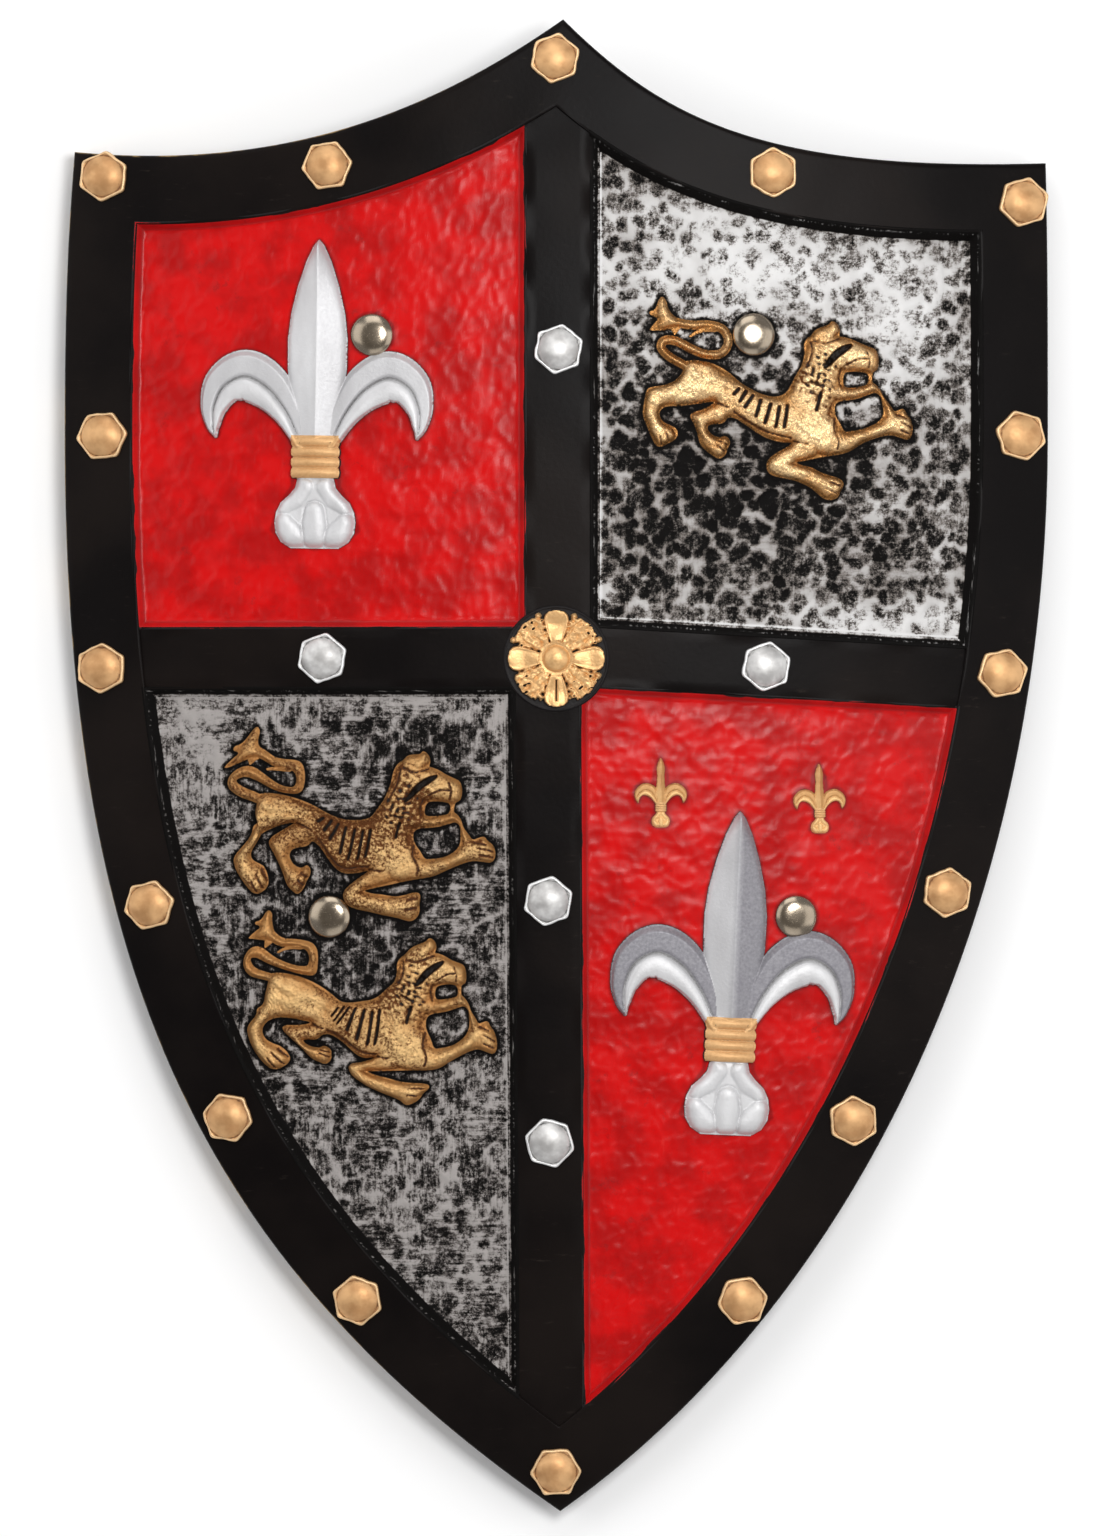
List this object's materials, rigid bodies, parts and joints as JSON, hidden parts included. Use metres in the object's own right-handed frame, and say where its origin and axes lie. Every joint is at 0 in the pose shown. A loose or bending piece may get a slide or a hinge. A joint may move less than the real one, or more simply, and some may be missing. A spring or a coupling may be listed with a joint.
{
  "type": "knight shield",
  "caption": "Pointed, cambered costume shield of painted foam with a raised border, cross, studs, lilies and lions, and straps riveted behind it.",
  "frame": {"origin": "bottom centre of the shield's box, as it lies on its back with the painted face up", "axes": "+Y from the lower point to the top point, +Z out of the painted face, +X to the right as the face is seen"},
  "size_m": [0.35, 0.5296, 0.043],
  "materials": {
    "painted_foam": "foam moulding with a painted latex skin: black, red, silver and gold",
    "webbing": "black woven strap, stitched at its ends",
    "rivet_metal": "polished nickelled steel cap rivets"
  },
  "bodies": {
    "root": {"shield_body": "painted_foam", "hand_grip": "webbing", "arm_strap": "webbing", "rivet_upper_left": "rivet_metal", "rivet_upper_right": "rivet_metal", "rivet_lower_left": "rivet_metal", "rivet_lower_right": "rivet_metal"}
  },
  "joints": []
}
